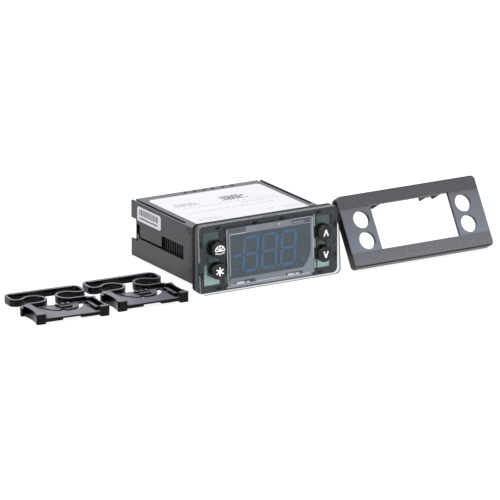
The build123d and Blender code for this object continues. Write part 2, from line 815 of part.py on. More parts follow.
# Mounting clips: plate with end blocks, a ratchet tongue, a pawl and a folded spring
spring_turn = 47.0
spring_s_radius = 4.72
for clip_name, (clip_x, clip_y, clip_turn) in clip_places.items():
    floor = Plane(origin=(clip_x, clip_y, 0)).rotated((0, 0, clip_turn))
    with BuildPart() as clip:
        # End blocks, waisted on the outside
        for side in (-1, 1):
            with BuildSketch(floor):
                with BuildLine():
                    Polyline(
                        (side * clip_outer_half, clip_depth),
                        (side * (clip_inner_half - 0.2), clip_depth),
                        (side * (clip_inner_half - 0.2), 0),
                        (side * (clip_outer_half - 0.7), 0),
                        (side * clip_outer_half, 0.8),
                    )
                    ThreePointArc(
                        (side * clip_outer_half, 0.8),
                        (side * clip_waist_half, clip_depth * 0.55),
                        (side * clip_outer_half, clip_depth),
                    )
                make_face()
            extrude(amount=clip_block_height)
        # Plate, with a thicker ledge at each side of its underside
        with BuildSketch(floor.offset(clip_plate_low)):
            with Locations((0, clip_plate_back / 2)):
                Rectangle(2 * clip_inner_half, clip_plate_back)
        extrude(amount=clip_plate_top - clip_plate_low)
        with BuildSketch(floor.offset(clip_ledge_low)):
            with Locations((-9.6, clip_ledge_depth / 2)):
                Rectangle(9.0, clip_ledge_depth)
            with Locations((9.0, clip_ledge_depth / 2)):
                Rectangle(10.2, clip_ledge_depth)
        extrude(amount=clip_plate_low - clip_ledge_low)
        # Slit that frees the ratchet tongue, wider on its right
        with BuildSketch(floor):
            with Locations((1.2, 17.8)):
                Circle(tongue_slit_radius)
            with Locations((0.9, 18.0)):
                Circle(tongue_radius, mode=Mode.SUBTRACT)
            with Locations((0, 17.4 + tongue_slit_radius)):
                Rectangle(4 * tongue_slit_radius, 2 * tongue_slit_radius, mode=Mode.SUBTRACT)
            with Locations((-0.6, 9.4)):
                Circle(1.3)
        extrude(amount=clip_plate_top, mode=Mode.SUBTRACT)
        # Pocket beside the right block, and the pawl in it
        with BuildSketch(floor):
            with Locations((13.8, 8.9)):
                Rectangle(4.4, 13.4)
        extrude(amount=clip_block_height, mode=Mode.SUBTRACT)
        with BuildSketch(floor.offset(pawl_low)):
            with Locations((13.6, 10.4)):
                Rectangle(1.7, 11.2)
        extrude(amount=pawl_top - pawl_low)
        # Ratchet teeth and finger tab on the tongue
        with BuildSketch(floor.offset(clip_plate_top)):
            with Locations((1.6, 12.2)):
                Rectangle(5.6, 1.2)
            with Locations((1.6, 15.8)):
                with GridLocations(2.6, 1, 3, 1):
                    Rectangle(1.3, 2.2)
        extrude(amount=0.9)
        # Curl at the rear of the left block
        with BuildSketch(floor.offset(clip_block_height - curl_height)):
            with BuildLine():
                JernArc((-16.6, clip_depth - 0.6), (-1, 0), curl_radius, 115)
            trace(line_width=spring_strip)
        extrude(amount=curl_height)
        # Folded spring: two loops each side and a straight bar that bears on the panel
        with BuildSketch(floor.offset(spring_low)):
            with BuildLine():
                root = JernArc(
                    (-spring_bend_x - 0.4, spring_front_y - 3.0), (0, 1), 3.0, -90
                )
                run = Line(root @ 1, (-spring_loop_x, spring_front_y))
                inner = JernArc(run @ 1, (1, 0), spring_loop_radius, 180)
                fall = JernArc(inner @ 1, inner % 1, spring_s_radius, spring_turn)
                level = JernArc(fall @ 1, fall % 1, spring_s_radius, -spring_turn)
                lower = JernArc(level @ 1, level % 1, spring_bend_radius, -90)
                up = Line(lower @ 1, ((lower @ 1).X, spring_back_y - spring_bend_radius))
                upper = JernArc(up @ 1, (0, 1), spring_bend_radius, -90)
                Line(upper @ 1, (0, spring_back_y))
            trace(line_width=spring_strip)
            mirror(about=Plane.YZ)
            with Locations((0, spring_back_y)):
                Rectangle(2 * spring_bend_x, spring_bar)
        extrude(amount=spring_height)
    clip.part.label = clip_name
    export_step(clip.part, f"parts/{clip_name}.step")
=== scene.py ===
import logging
import math
from dataclasses import dataclass, field
from enum import Enum
from typing import ClassVar

import bmesh
import bpy
from mathutils import Matrix, Vector


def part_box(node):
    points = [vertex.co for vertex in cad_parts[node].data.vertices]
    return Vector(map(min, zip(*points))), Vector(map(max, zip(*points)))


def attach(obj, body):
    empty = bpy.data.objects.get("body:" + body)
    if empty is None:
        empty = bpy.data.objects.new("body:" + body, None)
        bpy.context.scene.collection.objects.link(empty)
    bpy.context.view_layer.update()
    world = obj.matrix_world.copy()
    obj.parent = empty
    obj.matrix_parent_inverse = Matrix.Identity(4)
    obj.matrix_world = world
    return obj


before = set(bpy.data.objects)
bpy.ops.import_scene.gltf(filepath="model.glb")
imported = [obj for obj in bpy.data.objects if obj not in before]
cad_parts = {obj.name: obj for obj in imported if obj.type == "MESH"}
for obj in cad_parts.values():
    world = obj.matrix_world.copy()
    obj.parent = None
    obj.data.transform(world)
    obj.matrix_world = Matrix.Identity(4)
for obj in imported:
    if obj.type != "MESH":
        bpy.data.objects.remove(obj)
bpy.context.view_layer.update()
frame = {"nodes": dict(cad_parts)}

MM = 0.001
BODY = "controller"
log = logging.getLogger("refrigeration_controller")

Material = bpy.types.Material
Colour = tuple[float, float, float]
Triple = tuple[float, float, float]
Point = tuple[float, float]
Stroke = tuple[Point, Point]
Field = tuple[float, float, float, float]

BLACK: Colour = (0.0, 0.0, 0.0)
WHITE: Colour = (1.0, 1.0, 1.0)
ACROSS: Triple = (1.0, 0.0, 0.0)
BACK: Triple = (0.0, 1.0, 0.0)
FRONT: Triple = (0.0, -1.0, 0.0)
UP: Triple = (0.0, 0.0, 1.0)


def srgb(red: float, green: float, blue: float) -> Colour:
    """Turns a display colour of 0 to 255 into the linear colour that a shader takes.

    Args:
        red: red, as displayed.
        green: green, as displayed.
        blue: blue, as displayed.

    Returns:
        The linear colour.
    """
    def channel(value: float) -> float:
        """One channel of 0 to 255, decoded."""
        share = value / 255
        return share / 12.92 if share <= 0.04045 else ((share + 0.055) / 1.055) ** 2.4

    return channel(red), channel(green), channel(blue)


class KeySymbol(Enum):
    """The symbol that is printed on a key."""

    CHEVRON_UP = "chevron up"
    CHEVRON_DOWN = "chevron down"
    MELTING_CRYSTAL = "melting crystal"
    CRYSTAL = "crystal"


class Value:
    """A shader socket that takes arithmetic, each step being one Math node."""

    def __init__(self, shader: "Shader", socket: bpy.types.NodeSocket) -> None:
        """Wraps an output socket of the given shader."""
        self.shader = shader
        self.socket = socket

    def math(self, operation: str, *others: "Value | float", clamp: bool = False) -> "Value":
        """Adds a Math node.

        Args:
            operation: the Math node's operation.
            others: the values after this one.
            clamp: keeps the result between 0 and 1.

        Returns:
            The result.
        """
        return self.shader.node("ShaderNodeMath", {"operation": operation, "use_clamp": clamp},
                                self, *others)

    def __add__(self, other: "Value | float") -> "Value":
        """self + other."""
        return self.math("ADD", other)

    __radd__ = __add__

    def __sub__(self, other: "Value | float") -> "Value":
        """self - other."""
        return self.math("SUBTRACT", other)

    def __rsub__(self, other: float) -> "Value":
        """other - self."""
        return (self * -1.0) + other

    def __mul__(self, other: "Value | float") -> "Value":
        """self * other."""
        return self.math("MULTIPLY", other)

    __rmul__ = __mul__

    def above(self, edge: float, blur: float) -> "Value":
        """A mask that is 1 where this value lies above an edge.

        Args:
            edge: the value at the middle of the step.
            blur: the width of the step.

        Returns:
            The mask.
        """
        return ((self - edge) * (1.0 / blur)).math("ADD", 0.5, clamp=True)


class Shader:
    """One material, or the room's world, and the nodes in it."""

    def __init__(self, holder: "Material | bpy.types.World") -> None:
        """Starts with no nodes but the output.

        Args:
            holder: the material or world.
        """
        holder.use_nodes = True
        self.holder = holder
        self.tree = holder.node_tree
        self.tree.nodes.clear()
        kind = "World" if isinstance(holder, bpy.types.World) else "Material"
        self.output = self.tree.nodes.new(f"ShaderNodeOutput{kind}")

    @classmethod
    def material(cls, name: str) -> "Shader":
        """Starts an empty material of the given name."""
        return cls(bpy.data.materials.new(name))

    def node(self, kind: str, settings: dict | None = None, *inputs: object, out: int = 0,
             **named: object) -> Value:
        """Adds any node.

        Args:
            kind: the node's type.
            settings: the node's settings, set before its sockets.
            inputs: values or links of its first sockets, in order.
            out: the output that is returned.
            named: values or links of sockets by name, with _ for a space.

        Returns:
            The chosen output.
        """
        node = self.tree.nodes.new(kind)
        for key, setting in (settings or {}).items():
            setattr(node, key, setting)
        for index, value in enumerate(inputs):
            self.plug(node.inputs[index], value)
        for key, value in named.items():
            self.plug(node.inputs[key.replace("_", " ")], value)
        return Value(self, node.outputs[out])

    def plug(self, socket: bpy.types.NodeSocket, value: object) -> None:
        """Links a Value into a socket, or sets the socket to a plain value.

        Args:
            socket: the input socket.
            value: a Value to link, a plain value to set, or None to leave the socket as it is.
        """
        if isinstance(value, Value):
            self.tree.links.new(value.socket, socket)
        elif value is not None:
            plain = (*value, 1.0) if isinstance(value, tuple) and socket.type == "RGBA" else value
            socket.default_value = plain

    def place(self) -> Value:
        """The point on the surface, in metres, in the frame of the part."""
        return self.node("ShaderNodeTexCoord", out=3)

    def axis(self, point: Value, direction: Triple) -> Value:
        """How far a point lies along a direction.

        Args:
            point: the point, or any other vector.
            direction: the direction, of length 1.

        Returns:
            The distance along it.
        """
        node = self.tree.nodes.new("ShaderNodeVectorMath")
        node.operation = "DOT_PRODUCT"
        self.plug(node.inputs[0], point)
        node.inputs[1].default_value = direction
        return Value(self, node.outputs["Value"])

    def noise(self, point: Value, scale: float, detail: float = 2.0, rough: float = 0.5) -> Value:
        """Noise of the given scale, per metre."""
        return self.node("ShaderNodeTexNoise", {}, Vector=point, Scale=scale, Detail=detail,
                         Roughness=rough)

    def mix(self, share: Value, low: object, high: object) -> Value:
        """Mixes two colours.

        Args:
            share: the share of the second colour.
            low: the first colour, plain or a Value.
            high: the second colour, plain or a Value.

        Returns:
            The mixed colour.
        """
        node = self.tree.nodes.new("ShaderNodeMix")
        node.data_type = "RGBA"
        self.plug(node.inputs[0], share)
        self.plug(node.inputs[6], low)
        self.plug(node.inputs[7], high)
        return Value(self, node.outputs[2])

    def bump(self, height: Value, strength: float, distance: float, edge: float = 0.0) -> Value:
        """A bump normal from a height.

        Args:
            height: the height.
            strength: how strongly it shows.
            distance: the depth of a height of 1, in metres.
            edge: radius to which the edges look rounded, in metres, or 0 for sharp edges.

        Returns:
            The normal.
        """
        rounded = self.node("ShaderNodeBevel", {"samples": 4}, Radius=edge) if edge else None
        return self.node("ShaderNodeBump", {}, Height=height, Strength=strength, Distance=distance,
                         Normal=rounded)

    def facing(self, direction: Triple) -> Value:
        """A mask that is 1 on faces that look in a direction."""
        node = self.tree.nodes.new("ShaderNodeNewGeometry")
        return self.axis(Value(self, node.outputs["Normal"]), direction).above(0.8, 0.2)

    def sideways(self) -> Value:
        """A mask that is 1 on faces that look neither forwards nor back.

        Returns:
            The mask.
        """
        node = self.tree.nodes.new("ShaderNodeNewGeometry")
        forward = self.axis(Value(self, node.outputs["Normal"]), BACK).math("ABSOLUTE")
        return 1.0 - forward.above(0.5, 0.2)

    def crevice(self, reach: float) -> Value:
        """A share that is 1 in the open and falls to 0 in deep slots: ambient occlusion, for painted shade
        in slots and grooves.

        Args:
            reach: how wide the widest slot is that it shades, in metres.

        Returns:
            The share.
        """
        node = self.tree.nodes.new("ShaderNodeAmbientOcclusion")
        node.samples = 16
        node.inputs["Distance"].default_value = reach
        return Value(self, node.outputs["AO"])

    def shown(self) -> Value:
        """A mask that is 1 where the camera sees the surface, also in a gloss or through glass.

        Returns:
            The mask.
        """
        path = self.tree.nodes.new("ShaderNodeLightPath")
        seen, glossy, through = (Value(self, path.outputs[f"Is {ray} Ray"])
                                 for ray in ("Camera", "Glossy", "Transmission"))
        return seen.math("MAXIMUM", glossy).math("MAXIMUM", through)

    def finish(self, surface: Value) -> "Material | bpy.types.World":
        """Makes a shader the surface of what is being built.

        Args:
            surface: the shader.

        Returns:
            The material or world.
        """
        self.tree.links.new(surface.socket, self.output.inputs["Surface"])
        return self.holder

    def plastic(self, **sockets: object) -> Value:
        """Adds the main shader, with its sockets by name and _ for a space."""
        return self.node("ShaderNodeBsdfPrincipled", {}, **sockets)


@dataclass(frozen=True)
class MouldedPlastic:
    """Moulded plastic with an eroded grain and a faint mottle, and, where set, painted light: painted sheen
    on faces that look one way, painted shade in slots and in a box, and a painted glow.

    Attributes:
        name: the material's name.
        colour: its linear colour.
        roughness: mean roughness.
        grain: depth of the eroded grain, in metres.
        grain_scale: the grain's scale, per metre.
        mottle: how far the colour wanders, as a share.
        coat: strength of a glossy skin.
        specular: the shader's specular level.
        edge: radius to which its edges look rounded, in metres.
        crevice_shade: reach of the painted shade that darkens slots and grooves, in metres.
        painted_sheen: how much lighter the faces that look to one side are painted, as a share: a painted
            sheen where the lamps light them.
        painted_sheen_side: direction that those faces look in.
        painted_glow: strength of a painted glow, an emission that stands in for light that the clear
            moulding over it gathers into it.
        painted_vent_shade: corners of a box on the right, mirrored to the left, where the vents' recess is
            painted dark as shade, in millimetres.
    """

    name: str
    colour: Colour
    roughness: float = 0.45
    grain: float = 0.00004
    grain_scale: float = 2600.0
    mottle: float = 0.06
    coat: float = 0.0
    specular: float = 0.4
    edge: float = 0.0002
    crevice_shade: float = 0.0
    painted_sheen: float = 0.0
    painted_sheen_side: Triple = UP
    painted_glow: float = 0.0
    painted_vent_shade: tuple[Triple, Triple] | None = None

    def build(self) -> Material:
        """Builds the material.

        Returns:
            The material.
        """
        shader = Shader.material(self.name)
        point = shader.place()
        fine = shader.noise(point, self.grain_scale, 3.0)
        broad = shader.noise(point, 60.0, 3.0)
        dark = tuple(c * (1 - self.mottle) for c in self.colour)
        light = tuple(min(1.0, c * (1 + self.mottle)) for c in self.colour)
        colour = shader.mix(broad, dark, light)
        # painted sheen: faces that look to one side get a lighter colour, as if lit.
        if self.painted_sheen:
            pale = tuple(min(1.0, c * (1 + self.painted_sheen) + 0.002) for c in self.colour)
            colour = shader.mix(shader.facing(self.painted_sheen_side), colour, pale)
        # painted shade: the vents' recess is darkened, as if in shade.
        if self.painted_vent_shade:
            colour = shader.mix(self.vent_shade_mask(shader, point), colour, tuple(c * 0.2 for c in self.colour))
        # painted shade: slots and grooves are darkened by ambient occlusion.
        if self.crevice_shade:
            open_share = shader.crevice(self.crevice_shade)
            colour = shader.mix(open_share * open_share * open_share, (0.002, 0.002, 0.002), colour)
        return shader.finish(shader.plastic(
            Base_Color=colour,
            Roughness=broad * 0.08 + fine * 0.06 + (self.roughness - 0.07),
            Specular_IOR_Level=self.specular,
            Coat_Weight=self.coat,
            Coat_Roughness=0.12,
            # painted glow: the colour is also emitted, though the part is no lamp.
            Emission_Color=colour if self.painted_glow else None,
            Emission_Strength=self.painted_glow,
            Normal=shader.bump(fine, 0.35, self.grain, self.edge),
        ))

    def vent_shade_mask(self, shader: Shader, point: Value) -> Value:
        """A mask that is 1 inside the box that is painted dark as shade, and in its mirror image.

        Args:
            shader: the material.
            point: the point on the surface.

        Returns:
            The mask.
        """
        blur = 0.05 * MM
        share = 1.0
        for direction, low, high in zip((ACROSS, BACK, UP), *self.painted_vent_shade):
            along = shader.axis(point, direction)
            along = along.math("ABSOLUTE") if direction is ACROSS else along
            inside = along.above(low * MM, blur) * (1.0 - along.above(high * MM, blur))
            share = inside * share
        return share


@dataclass(frozen=True)
class SpeckledBezelPlastic:
    """Bezel plastic: speckled outer bands and a plain glossier middle band. Its walls and a rim round its
    face are painted dark as shade, and its face is lighter towards the bottom, on the middle band as a
    painted reflection of the floor.

    Attributes:
        name: the material's name.
        colour: the plain plastic's linear colour.
        speckle: the light specks' linear colour.
        band: linear colour of the middle band's lower end, a painted reflection of the floor.
        side: linear colour of the walls behind the face, dark as painted shade.
        origin: the lower left corner of the bezel's rear edge, in metres.
        up: direction up the bezel.
        out: direction out of the bezel's face.
        face: how far the face lies out from the rear edge, in metres.
        low: where the middle band starts, in metres up the bezel.
        high: where it ends.
        tall: how far up the bezel's upper edge lies, in metres.
        rim: width of the rim round the face that is painted dark as shade, in metres.
        blur: width of the step to it, in metres.
        speck_scale: the specks' scale, per metre.
        gloss: roughness of the middle band.
    """

    name: str
    colour: Colour
    speckle: Colour
    band: Colour
    side: Colour
    origin: Triple
    up: Triple
    out: Triple
    face: float
    low: float
    high: float
    tall: float
    rim: float = 0.0006
    blur: float = 0.0003
    speck_scale: float = 3000.0
    gloss: float = 0.3

    def build(self) -> Material:
        """Builds the material.

        Returns:
            The material.
        """
        shader = Shader.material(self.name)
        point = shader.place()
        start = sum(o * u for o, u in zip(self.origin, self.up))
        height = shader.axis(point, self.up) - start
        depth = shader.axis(point, self.out) - sum(o * u for o, u in zip(self.origin, self.out))
        # painted shade: the walls behind the face and a thin rim round it take the dark side colour.
        front = depth.above(self.face - self.rim, self.blur)
        upper_rim = height.above(self.tall - self.rim + 0.0001, self.blur)
        rimless = height.above(self.rim, self.blur) * (1.0 - upper_rim)
        middle = height.above(self.low, 0.0001) * (1.0 - height.above(self.high, 0.0001))
        outer = (1.0 - middle) * front
        specks = shader.noise(point, self.speck_scale, 2.0, 0.7).above(0.52, 0.25)
        fine = shader.noise(point, 3100.0, 2.0)
        # painted reflection: the face gets lighter towards the bottom, where the middle band reflects the
        # floor, and darker towards the top.
        fade = (height * (1.0 / self.high)).math("SUBTRACT", 0.0, clamp=True)
        top, bottom, speckle_top = (tuple(c * k for c in self.colour) for k in (0.72, 1.25, 0.45))
        bands = shader.mix(fade, bottom, top)
        grained = shader.mix(specks, shader.mix(fade, self.colour, speckle_top), shader.mix(
            fade, self.speckle, self.colour))
        face = shader.mix(outer, shader.mix(middle, bands, shader.mix(fade, self.band, bottom)), grained)
        return shader.finish(shader.plastic(
            Base_Color=shader.mix(front * rimless, self.side, face),
            Roughness=outer * 0.2 + fine * 0.05 + self.gloss,
            Specular_IOR_Level=0.4,
            Normal=shader.bump(specks * outer + fine * 0.3, 0.3, 0.00005, 0.0003),
        ))


@dataclass(frozen=True)
class ClearPlastic:
    """Clear moulded plastic.

    Attributes:
        name: the material's name.
        tint: linear colour of the light that it lets through.
        veil: share of the surface that looks frosted.
        roughness: roughness of its surface.
        bends: its index of refraction, for the gloss alone.
        rim_gloss: share of gloss on faces that look up.
        wall_gloss: share of gloss on its side walls.
    """

    name: str
    tint: Colour
    veil: float = 0.02
    roughness: float = 0.03
    bends: float = 1.45
    rim_gloss: float = 0.6
    wall_gloss: float = 0.35

    def build(self) -> Material:
        """Builds the material, mostly see-through, with a gloss that follows the angle.

        Returns:
            The material.
        """
        shader = Shader.material(self.name)
        smear = shader.noise(shader.place(), 25.0, 1.0)
        clear = shader.node("ShaderNodeBsdfTransparent", {}, Color=self.tint)
        fresnel = shader.node("ShaderNodeFresnel", {}, IOR=self.bends)
        inner = Value(shader, shader.tree.nodes.new("ShaderNodeNewGeometry").outputs["Backfacing"])
        gloss = shader.plastic(
            Metallic=1.0,
            Base_Color=shader.mix(inner, (0.5, 0.53, 0.54), (0.16, 0.2, 0.2)),
            Roughness=smear * 0.03 + self.roughness)
        rim = shader.facing(UP) * (1.0 - inner) * self.rim_gloss
        outer = (fresnel * 0.5 + smear * self.veil) * (1.0 - inner)
        share = (outer + inner * 0.01).math("MAXIMUM", rim).math(
            "MAXIMUM", shader.sideways() * (inner * 0.4 + self.wall_gloss))
        return shader.finish(shader.node("ShaderNodeMixShader", {}, share, clear, gloss))


@dataclass(frozen=True)
class Metal:
    """Plated or varnished metal.

    Attributes:
        name: the material's name.
        colour: its linear colour.
        roughness: mean roughness.
    """

    name: str
    colour: Colour
    roughness: float = 0.35

    def build(self) -> Material:
        """Builds the material.

        Returns:
            The material.
        """
        shader = Shader.material(self.name)
        point = shader.place()
        fine = shader.noise(point, 900.0, 3.0)
        return shader.finish(shader.plastic(
            Base_Color=shader.mix(fine, tuple(c * 0.8 for c in self.colour), self.colour),
            Metallic=1.0,
            Roughness=fine * 0.15 + (self.roughness - 0.07),
            Normal=shader.bump(fine, 0.2, 0.00003),
        ))


@dataclass(frozen=True)
class SolderMask:
    """Circuit board with copper areas showing under its mask.

    Attributes:
        name: the material's name.
        colour: linear colour of the bare laminate under the mask.
        copper: linear colour where copper lies under the mask.
        painted_glow: strength of a painted glow, an emission that stands in for light that the clear
            moulding over it gathers into it.
        shaded_from: height from which the board lies in shade, in metres, or 0 for none.
        shade_blur: width of the step to the shade, in metres.
        shade: share of the colour that is left in the shade.
        area_scale: scale of the copper areas, per metre.
    """

    name: str
    colour: Colour
    copper: Colour
    painted_glow: float = 0.0
    shaded_from: float = 0.0
    shade_blur: float = 0.007
    shade: float = 0.34
    area_scale: float = 210.0

    def build(self) -> Material:
        """Builds the material.

        Returns:
            The material.
        """
        shader = Shader.material(self.name)
        point = shader.place()
        areas = shader.node("ShaderNodeTexVoronoi", {"feature": "F1", "distance": "CHEBYCHEV"},
                            Vector=point, Scale=self.area_scale)
        tracks = areas.above(0.36, 0.05)
        fine = shader.noise(point, 1500.0, 2.0)
        colour = shader.mix(tracks, self.copper, self.colour)
        # painted glow in the copper colour, dropped where the board lies in painted shade.
        glow = self.copper if self.painted_glow else None
        if self.shaded_from:
            high = shader.axis(point, UP).above(self.shaded_from, self.shade_blur)
            colour = shader.mix(high, colour, tuple(c * self.shade for c in self.colour))
            glow = shader.mix(high, self.copper, BLACK)
        return shader.finish(shader.plastic(
            Base_Color=colour,
            Roughness=fine * 0.1 + 0.32,
            Emission_Color=glow,
            Emission_Strength=self.painted_glow,
            Normal=shader.bump(tracks, 0.3, 0.00005),
        ))


@dataclass(frozen=True)
class Finishes:
    """Every finish of the controller, built once."""

    # case: painted sheen on the faces that look up, painted shade in slots and grooves, and painted shade
    # in the vents' recess.
    case: Material = field(default_factory=MouldedPlastic(
        "case_plastic", srgb(63, 66, 69), 0.4, mottle=0.05, specular=0.25, edge=0.0003, crevice_shade=0.007,
        painted_sheen=1.6, painted_vent_shade=((32.4, 15.2, 12.1), (34.55, 35.9, 18.8))).build)
    # frame: painted sheen on the faces that look up, and a painted glow.
    frame: Material = field(default_factory=MouldedPlastic(
        "frame_plastic", srgb(78, 81, 85), 0.5, 0.000004, specular=0.15, painted_sheen=0.6, painted_glow=0.2).build)
    gasket: Material = field(default_factory=MouldedPlastic(
        "gasket_rubber", srgb(14, 14, 15), 0.62, grain_scale=1500.0, specular=0.15).build)
    clear: Material = field(default_factory=ClearPlastic("clear_plastic", (0.9, 0.91, 0.92)).build)
    surround: Material = field(default_factory=MouldedPlastic(
        "surround_plastic", srgb(200, 203, 211), 0.25, 0.00001, 800.0, 0.3).build)
    # glint: glowing white, for the painted highlights.
    glint: Material = field(default_factory=MouldedPlastic(
        "glint_plastic", srgb(240, 242, 246), 0.2, 0.00001, 800.0, 0.03, painted_glow=0.35).build)
    # border_shade: a tinted clear film for the painted shade on the border.
    border_shade: Material = field(default_factory=ClearPlastic("border_shade_film", (0.84, 0.855, 0.86)).build)
    # lip: a painted glow on the pale strips.
    lip: Material = field(default_factory=MouldedPlastic(
        "lip_plastic", srgb(232, 230, 242), 0.2, 0.00001, 800.0, 0.1, painted_glow=0.15).build)
    display: Material = field(default_factory=MouldedPlastic(
        "display_face", srgb(106, 119, 124), 0.2, 0.00001, 900.0, 0.08).build)
    segments: Material = field(default_factory=MouldedPlastic(
        "segment_resin", srgb(110, 148, 192), 0.28, 0.00001, 900.0, 0.1).build)
    # board: a painted glow, and painted shade over its upper part.
    board: Material = field(default_factory=SolderMask(
        "display_board_mask", srgb(200, 236, 230), srgb(226, 252, 248), 0.22, 11.5 * MM).build)
    # key: painted sheen on the faces that look forward.
    key: Material = field(default_factory=MouldedPlastic(
        "key_plastic", srgb(11, 11, 12), 0.25, specular=0.35, edge=0.0008, painted_sheen=2.6,
        painted_sheen_side=FRONT).build)
    switch: Material = field(default_factory=MouldedPlastic("switch_plastic", srgb(24, 25, 26), 0.4).build)
    label: Material = field(default_factory=MouldedPlastic(
        "label_film", srgb(238, 238, 246), 0.38, 0.00001, 1200.0, 0.015).build)
    print_dark: Material = field(default_factory=MouldedPlastic(
        "label_print_dark", srgb(66, 70, 84), 0.5, mottle=0.2).build)
    print_light: Material = field(default_factory=MouldedPlastic(
        "label_print_light", srgb(168, 170, 180), 0.5, mottle=0.1).build)
    # symbol: a painted glow on the printed symbols.
    symbol: Material = field(default_factory=MouldedPlastic(
        "key_symbol_print", srgb(250, 250, 252), 0.45, 0.00001, 900.0, 0.01, painted_glow=0.5).build)
    # bezel: painted shade on its walls and rim, and a painted floor reflection on its face.
    bezel: Material = field(default_factory=lambda: SpeckledBezelPlastic(
        "bezel_plastic", srgb(105, 107, 113), srgb(147, 149, 157), srgb(144, 154, 170), srgb(14, 14, 16),
        Bezel.ORIGIN, Bezel.up_direction(), Bezel.out_direction(), Bezel.FACE, Bezel.BAND_LOW,
        Bezel.BAND_HIGH, Bezel.TALL).build())
    # clip: painted sheen on the faces that look up, and painted shade in its slots.
    clip: Material = field(default_factory=MouldedPlastic(
        "clip_plastic", srgb(8, 8, 10), 0.22, 0.00002, 1800.0, 0.1, specular=0.14, edge=0.0005,
        crevice_shade=0.003, painted_sheen=70.0).build)
    cover: Material = field(default_factory=MouldedPlastic("cover_plastic", srgb(70, 72, 72), 0.5).build)
    power_board: Material = field(default_factory=SolderMask(
        "power_board_mask", srgb(24, 78, 44), srgb(40, 104, 60)).build)
    relay: Material = field(default_factory=MouldedPlastic("relay_plastic", srgb(26, 26, 28), 0.35).build)
    core: Material = field(default_factory=Metal("core_steel", srgb(150, 148, 142), 0.45).build)
    capacitor: Material = field(default_factory=MouldedPlastic(
        "capacitor_sleeve", srgb(24, 28, 44), 0.25, coat=0.4).build)
    chip: Material = field(default_factory=MouldedPlastic("chip_resin", srgb(24, 24, 25), 0.5).build)
    buzzer: Material = field(default_factory=MouldedPlastic("buzzer_plastic", srgb(20, 20, 21), 0.42).build)
    header: Material = field(default_factory=MouldedPlastic(
        "header_plastic", srgb(220, 218, 206), 0.45).build)
    terminal: Material = field(default_factory=MouldedPlastic(
        "terminal_plastic", srgb(34, 96, 60), 0.42).build)
    screw: Material = field(default_factory=Metal("screw_steel", srgb(190, 190, 194), 0.28).build)


def dress(node: str, material: Material) -> None:
    """Gives a carried-over CAD node its material.

    Args:
        node: the node's name.
        material: the material for all its slots.
    """
    obj = frame["nodes"][node]
    if not obj.material_slots:
        obj.data.materials.append(material)
    for material_slot in obj.material_slots:
        material_slot.material = material
    log.info("dressed %s with %s", node, material.name)


def solid_from_outlines(name: str, outlines: list[list[Point]], thickness: float,
                        matrix: Matrix, material: Material) -> bpy.types.Object:
    """Raises flat closed outlines into one thin solid piece.

    Args:
        name: the piece's name.
        outlines: closed outlines, in metres, in the plane's own coordinates.
        thickness: how far they are raised along the plane's normal.
        matrix: the plane.
        material: the piece's material.

    Returns:
        The piece, not yet riding on anything.
    """
    mesh = bmesh.new()
    for outline in outlines:
        low = [mesh.verts.new(matrix @ Vector((x, y, 0.0))) for x, y in outline]
        high = [mesh.verts.new(matrix @ Vector((x, y, thickness))) for x, y in outline]
        mesh.faces.new(list(reversed(low)))
        mesh.faces.new(high)
        for index in range(len(outline)):
            after = (index + 1) % len(outline)
            mesh.faces.new((low[index], low[after], high[after], high[index]))
    bmesh.ops.recalc_face_normals(mesh, faces=mesh.faces)
    data = bpy.data.meshes.new(name)
    mesh.to_mesh(data)
    mesh.free()
    obj = bpy.data.objects.new(name, data)
    bpy.context.scene.collection.objects.link(obj)
    obj.data.materials.append(material)
    return obj


def bar(start: Point, end: Point, width: float) -> list[Point]:
    """Outline of a straight bar, from sizes in millimetres.

    Args:
        start: the middle of its first end.
        end: the middle of its other end.
        width: its width.

    Returns:
        The outline, in metres.
    """
    a = Vector(start) * MM
    b = Vector(end) * MM
    direction = (b - a).normalized()
    side = Vector((-direction.y, direction.x)) * width * MM / 2
    return [tuple(p) for p in (b + side, b - side, a - side, a + side)]


def rectangle(x: float, y: float, width: float, height: float) -> list[Point]:
    """Outline of a rectangle, from sizes in millimetres.

    Args:
        x: its centre across.
        y: its centre up.
        width: its width.
        height: its height.

    Returns:
        The outline, in metres.
    """
    left, right = (x - width / 2) * MM, (x + width / 2) * MM
    low, high = (y - height / 2) * MM, (y + height / 2) * MM
    return [(left, low), (right, low), (right, high), (left, high)]


@dataclass(frozen=True)
class PrintBlock:
    """A block of short dark bars on the top label, in millimetres.

    Attributes:
        left: where its lines start.
        right: where they end.
        low: the lowest line.
        high: the highest line.
        pitch: distance between lines.
        tall: height of the bars.
        indent: step by which the lines' ends vary.
        shortest: length of the shortest bar.
        spread: how much longer the longest is.
        gap: the narrow gap between bars.
        wider: how much wider the wide gap is.
    """

    left: float
    right: float
    low: float
    high: float
    pitch: float
    tall: float
    indent: float = 0.7
    shortest: float = 0.8
    spread: float = 1.3
    gap: float = 0.35
    wider: float = 0.3

    def outlines(self) -> list[list[Point]]:
        """Lays out the bars, whose lengths and starts vary by fixed rules.

        Returns:
            Their outlines, in metres.
        """
        bars = []
        for line in range(int((self.high - self.low) / self.pitch) + 1):
            place = self.left + self.indent * (line * 5 % 3)
            count = line * 3
            while place < self.right - self.indent * (line * 2 % 3):
                length = self.shortest + self.spread * (count * 5 % 7) / 6
                bars.append(rectangle(place + length / 2, self.low + line * self.pitch, length, self.tall))
                place += length + self.gap + self.wider * (count % 2)
                count += 1
        return bars


